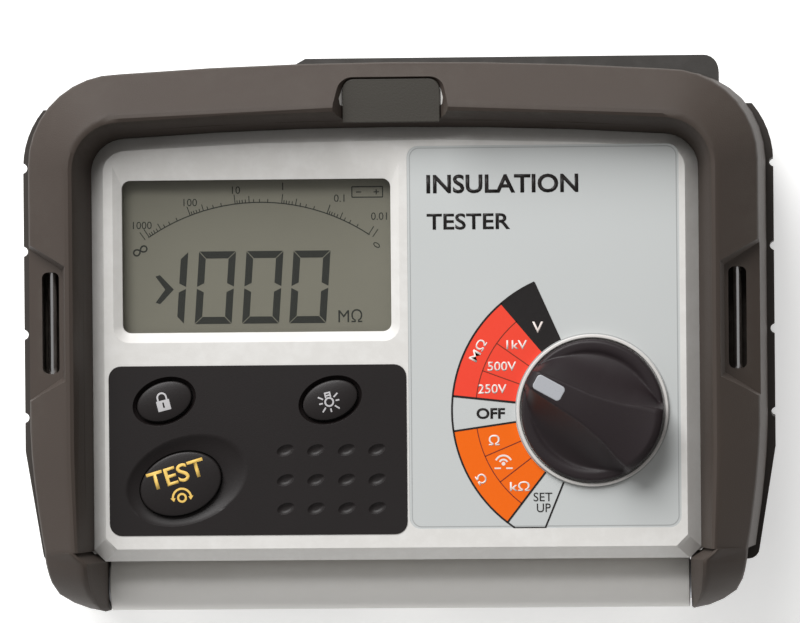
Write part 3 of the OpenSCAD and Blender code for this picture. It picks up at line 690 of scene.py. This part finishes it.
# ---- Key panel
# A black rubber sheet over the key mat, with a dished ring round each key and twelve moulded
# dimples for the fingertips. It lies in a recess of the case.
key_rubber = moulded(
    "key_panel_rubber", (0.0085, 0.0060, 0.0060), (0.0125, 0.0095, 0.0095), 0.48, 2800, 0.00002,
    **{"Specular IOR Level": 0.35},
)
softened("key_panel", 0.00025, key_rubber, over=40, smooth=50)
coat("key_mat", silicone)

# ---- Keys
# Three oval rubber keys with crowned tops, that stand a little proud of the panel. The legends
# are printed on the crowns: a padlock, a lamp, and TEST with a turned arrow under it.
KEY_TILT = math.radians(20)
KEY_FOOT, FLANGE_TOP, KEY_SHOULDER, KEY_CROWN = 57.4, 59.0, 62.5, 63.15
SMALL_KEY, TEST_KEY = (7.4, 4.9), (11.0, 8.0)
key_plastic = moulded(
    "key_rubber", (0.013, 0.0105, 0.0105), (0.018, 0.015, 0.015), 0.42, 2600, 0.00002,
    **{"Specular IOR Level": 0.3},
)


def crown_height(key, size, x, y):
    """The height of a key's crowned top, in mm, at a point on the panel."""
    x, y = x - key[0], y - key[1]
    along = (x * math.cos(KEY_TILT) + y * math.sin(KEY_TILT)) / size[0]
    across = (y * math.cos(KEY_TILT) - x * math.sin(KEY_TILT)) / size[1]
    return KEY_SHOULDER + (KEY_CROWN - KEY_SHOULDER) * max(0, 1 - along * along - across * across) ** 0.75


def rubber_key(node, key, size):
    """A crowned oval key with a flange under the panel."""
    form = bmesh.new()
    bmesh.ops.create_circle(form, segments=64, radius=1)
    rim = list(form.edges)

    def next_ring(edges, place):
        """Carries a ring of edges on to its next place."""
        grown = bmesh.ops.extrude_edge_only(form, edges=edges)["geom"]
        for vertex in (item for item in grown if isinstance(item, bmesh.types.BMVert)):
            vertex.co = place(vertex.co)
        return [item for item in grown if isinstance(item, bmesh.types.BMEdge)]

    edges = rim
    for share in (0.97, 0.93, 0.87, 0.8, 0.7, 0.6, 0.5, 0.4, 0.3, 0.2, 0.1):
        edges = next_ring(edges, lambda co: co.normalized() * share)
    bmesh.ops.contextual_create(form, geom=edges)
    for vertex in form.verts:
        x, y = vertex.co.x * size[0], vertex.co.y * size[1]
        vertex.co.x = key[0] + x * math.cos(KEY_TILT) - y * math.sin(KEY_TILT)
        vertex.co.y = key[1] + x * math.sin(KEY_TILT) + y * math.cos(KEY_TILT)
        vertex.co.z = crown_height(key, size, vertex.co.x, vertex.co.y)

    def stepped(co, height, step):
        """The same point of the outline at another height, moved outwards."""
        out = Vector((co.x - key[0], co.y - key[1], 0))
        return Vector((key[0], key[1], height)) + out * ((out.length + step) / out.length)

    edges = rim
    for height, step in [(KEY_SHOULDER - 0.3, 0.12), (FLANGE_TOP, 0), (FLANGE_TOP, 1.1), (KEY_FOOT, 0)]:
        edges = next_ring(edges, lambda co: stepped(co, height, step))
    bmesh.ops.contextual_create(form, geom=edges)
    bmesh.ops.recalc_face_normals(form, faces=form.faces)
    bmesh.ops.scale(form, vec=(MM, MM, MM), verts=form.verts)
    made(form, node + "_crown", body_of(node), key_plastic, node, slot="keys", smooth=55)


def printed_on_key(ink, name, node, key, size, finish):
    """Drapes a flat print over a key's crown."""
    bmesh.ops.triangulate(ink, faces=ink.faces)
    bmesh.ops.subdivide_edges(ink, edges=ink.edges, cuts=1)
    for vertex in ink.verts:
        vertex.co.z = (crown_height(key, size, vertex.co.x / MM, vertex.co.y / MM) + 0.02) * MM
    print_ink(ink, name, body_of(node), finish, "keys", thickness=0.04 * MM)


LOCK, LAMP, TEST = (-61.6, -17.6), (-17.3, -17.6), (-57.4, -39.6)
rubber_key("lock_key", LOCK, SMALL_KEY)
rubber_key("backlight_key", LAMP, SMALL_KEY)
rubber_key("test_key", TEST, TEST_KEY)
silver_ink = inked("silver_ink", (0.50, 0.49, 0.50), (0.58, 0.57, 0.58))
gold_ink = inked("gold_ink", (0.86, 0.56, 0.13), (0.94, 0.64, 0.18))


def turned(ink, degrees, centre):
    """Turns a print about a point, in mm."""
    bmesh.ops.rotate(
        ink, verts=ink.verts, cent=(centre[0] * MM, centre[1] * MM, 0),
        matrix=Matrix.Rotation(math.radians(degrees), 3, "Z"),
    )


padlock = bmesh.new()
lock_at = (-61.9, -17.8)
# The lock's body is four patches that leave its keyhole open.
for corners in [
    [(-1.75, -2.3), (-0.22, -2.3), (-0.22, -0.9), (-0.22, 0.5), (-1.75, 0.5)],
    [(0.22, -2.3), (1.75, -2.3), (1.75, 0.5), (0.22, 0.5), (0.22, -0.9)],
    [(-0.22, -2.3), (0.22, -2.3), (0.22, -1.55), (-0.22, -1.55)],
    [(-0.22, -0.1), (0.22, -0.1), (0.22, 0.5), (-0.22, 0.5)],
]:
    outline_of(padlock, [(lock_at[0] + x, lock_at[1] + y) for x, y in corners])
shackle = (lock_at[0], lock_at[1] + 1.25)
sector(padlock, shackle, 0.95, 1.4, 0, 180)
for side in (-1.175, 1.175):
    stroke(padlock, (shackle[0] + side, lock_at[1] + 0.5), (shackle[0] + side, shackle[1]), 0.45)
turned(padlock, 14, lock_at)
printed_on_key(padlock, "lock_key_print", "lock_key", LOCK, SMALL_KEY, silver_ink)

lamp_sign = bmesh.new()
lamp_at = (-17.5, -18.1)
sector(lamp_sign, lamp_at, 0.85, 1.3, 0, 360)
for ray, length in [(0, 1.0), (-45, 1.5), (-90, 1.0), (-135, 1.5), (180, 1.0), (35, 1.5), (145, 1.5)]:
    stroke(lamp_sign, around(lamp_at, 1.75, ray), around(lamp_at, 1.75 + length, ray), 0.4)
# Under the bulb stands its cap: two sides and two bars.
for start, end in [
    ((-0.65, 1.2), (-0.65, 2.5)), ((0.65, 1.2), (0.65, 2.5)),
    ((-0.85, 2.5), (0.85, 2.5)), ((-0.65, 1.8), (0.65, 1.8)),
]:
    stroke(lamp_sign, Vector(lamp_at) + Vector(start), Vector(lamp_at) + Vector(end), 0.38)
turned(lamp_sign, 13, lamp_at)
printed_on_key(lamp_sign, "backlight_key_print", "backlight_key", LAMP, SMALL_KEY, silver_ink)

test_sign = bmesh.new()
lettering(test_sign, "TEST", 4.9, (-58.5, -37.1), 15.7, 16.5, bold=0.016)
arrow_at = (-57.0, -43.3)
sector(test_sign, arrow_at, 0.75, 1.3, 0, 360)
sector(test_sign, arrow_at, 2.15, 2.7, 5, 190)
for foot, tip in [(12, -12), (183, 207)]:
    head = [(1.75, foot), (2.4, tip), (3.1, foot)]
    outline_of(test_sign, [around(arrow_at, radius, degrees) for radius, degrees in head])
printed_on_key(test_sign, "test_key_print", "test_key", TEST, TEST_KEY, gold_ink)

# ---- Hinge and lid
# Two steel stubs carry a light grey link whose barrel closes the front of the case. The lid hangs
# on the link's lower edge by a steel pin, and folds away under the tester.
softened("lid_link", 0.0006, light_abs)
for node in ("hinge_stubs", "lid_hinge_pin"):
    coat(node, zinc_steel)
softened("lid", 0.0006, dark_abs)
coat("lid_label", label_sheet)
# A ruled guide to the ranges is printed on the face that lies over the panel when the lid is shut.
# That face looks down when the lid is folded under the case, so the print is turned over.
guide = bmesh.new()
GUIDE_UNDER = 5.68
GUIDE_LEFT, GUIDE_MIDDLE, GUIDE_RIGHT, GUIDE_HEAD, GUIDE_ROW, GUIDE_ROWS = -60, -22, 60, 40, 12, 6
GUIDE_FOOT = GUIDE_HEAD - GUIDE_ROWS * GUIDE_ROW
for row in range(GUIDE_ROWS + 1):
    rule_y = GUIDE_HEAD - row * GUIDE_ROW
    stroke(guide, (GUIDE_LEFT, rule_y), (GUIDE_RIGHT, rule_y), 0.3)
for column in (GUIDE_LEFT, GUIDE_MIDDLE, GUIDE_RIGHT):
    stroke(guide, (column, GUIDE_FOOT), (column, GUIDE_HEAD), 0.3)
for row, (left, right) in enumerate([
    ("RANGE", "USE"), ("V", "VOLTS"), ("MΩ", "INSULATION"), ("OFF", "BATTERIES OFF"), ("Ω", "CONTINUITY"),
    ("kΩ", "RESISTANCE"),
]):
    words_y = GUIDE_HEAD - (row + 0.5) * GUIDE_ROW
    lettering(guide, left, 3.4, ((GUIDE_LEFT + GUIDE_MIDDLE) / 2, words_y))
    lettering(guide, right, 3.4, ((GUIDE_MIDDLE + GUIDE_RIGHT) / 2, words_y))
bmesh.ops.rotate(guide, verts=guide.verts, cent=(0, 0, 0), matrix=Matrix.Rotation(math.pi, 3, "Y"))
bmesh.ops.translate(guide, verts=guide.verts, vec=(0, 0, GUIDE_UNDER * MM))
bmesh.ops.remove_doubles(guide, verts=guide.verts, dist=0.000001)
guide_ink = inked("guide_ink", (0.03, 0.03, 0.03), (0.05, 0.05, 0.05))
guide_piece = made(guide, "lid_guide_print", "lid", guide_ink, slot="label", smooth=None)
guide_film = guide_piece.modifiers.new("ink film", "SOLIDIFY")
guide_film.thickness, guide_film.offset = INK, 1

# ---- Switch
# A sealed rotary switch under the knob, whose spindle comes up through the panel.
cream_plastic = moulded("component_plastic", (0.62, 0.60, 0.54), (0.72, 0.70, 0.64), 0.45, 1500, 0.00002)
for node in ("switch_spindle", "rotary_switch", "relays", "battery_connector"):
    coat(node, cream_plastic)

# ---- Circuit board
# Green solder mask over copper tracks, with the chips on top and the tall parts underneath.
mask = Finish("solder_mask", Roughness=0.28)
tracks = mask.ramp(mask.node("ShaderNodeTexWave", {"bands_direction": "DIAGONAL"}, {
    "Vector": mask.node("ShaderNodeTexCoord", output=3), "Scale": 190, "Distortion": 3, "Detail": 1,
}), (0.44, 0), (0.5, 1))
tone = tracks * 0.8 + mask.noise(30) * 0.2
mask.give(**{"Base Color": mask.mix(tone, (0.010, 0.075, 0.030), (0.022, 0.13, 0.05))})
mask.bump(tracks, 0.00003)
coat("main_board", mask.material)
epoxy = moulded("chip_epoxy", (0.018, 0.018, 0.02), (0.028, 0.028, 0.03), 0.5, 2000, 0.00002)
for node in ("microcontroller", "measuring_chips", "sounder"):
    coat(node, epoxy)

# ---- Wound parts, cans and fuse
# Taped transformer, toroid choke, sleeved capacitors and a ceramic fuse, in their makers' colours.
winding = Finish("winding_tape", Roughness=0.35)
turns = winding.ramp(winding.node("ShaderNodeTexWave", {"bands_direction": "Z"}, {
    "Vector": winding.node("ShaderNodeTexCoord", output=3), "Scale": 420, "Distortion": 0.4,
}), (0.2, 0), (0.6, 1))
winding.give(**{"Base Color": winding.mix(turns, (0.30, 0.14, 0.02), (0.62, 0.38, 0.08))})
winding.bump(turns, 0.0002)
for node in ("inverter_transformer", "inductor"):
    coat(node, winding.material)
coat("capacitors", moulded("capacitor_sleeve", (0.03, 0.05, 0.14), (0.05, 0.08, 0.20), 0.3, 1200, 0.00001))
coat("fuse", moulded("fuse_ceramic", (0.70, 0.70, 0.66), (0.80, 0.80, 0.76), 0.3, 1500, 0.00001))

# ---- Batteries
# Eight AA cells in printed sleeves between nickel-plated contacts and coiled springs.
sleeve = Finish("cell_sleeve", Roughness=0.3)
band = sleeve.ramp(sleeve.noise(9, 1, stretch=(3, 0.2, 0.2)), (0.47, 0), (0.5, 1))
sleeve.give(**{
    "Base Color": sleeve.mix(band, (0.030, 0.075, 0.045), (0.36, 0.25, 0.09)),
    "Metallic": band * 0.6,
})
sleeve.bump(sleeve.noise(900), 0.00001)
coat("battery_cells", sleeve.material)
nickel = moulded("nickel_plate", (0.60, 0.59, 0.56), (0.70, 0.69, 0.66), 0.25, 800, 0.00001, Metallic=1.0)
coat("battery_contacts", nickel)
WIRE, COIL, COILS, SPRINGS = 0.35 * MM, 2.1 * MM, 5, 4
SPRING_MARGIN = 2.5 * MM
STEPS_A_COIL = 18
low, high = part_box("battery_springs")
springs = bmesh.new()
pitch = (high[1] - low[1] - 2 * SPRING_MARGIN) / (SPRINGS - 1)
for cell in range(SPRINGS):
    y = low[1] + SPRING_MARGIN + cell * pitch
    z = (low[2] + high[2]) / 2
    ring = bmesh.ops.create_circle(springs, segments=8, radius=WIRE)["verts"]
    bmesh.ops.translate(springs, verts=ring, vec=(low[0] + WIRE, y + COIL, z))
    edges = list({edge for vertex in ring for edge in vertex.link_edges})
    steps = COILS * STEPS_A_COIL
    bmesh.ops.spin(
        springs, geom=ring + edges, cent=(low[0], y, z), axis=(1, 0, 0), angle=2 * math.pi * COILS,
        dvec=((high[0] - low[0] - 2 * WIRE) / steps, 0, 0), steps=steps, use_merge=False,
    )
bmesh.ops.holes_fill(springs, edges=[edge for edge in springs.edges if edge.is_boundary], sides=8)
bmesh.ops.recalc_face_normals(springs, faces=springs.faces)
made(springs, "battery_spring_coils", "body", nickel, "battery_springs", slot="steel")
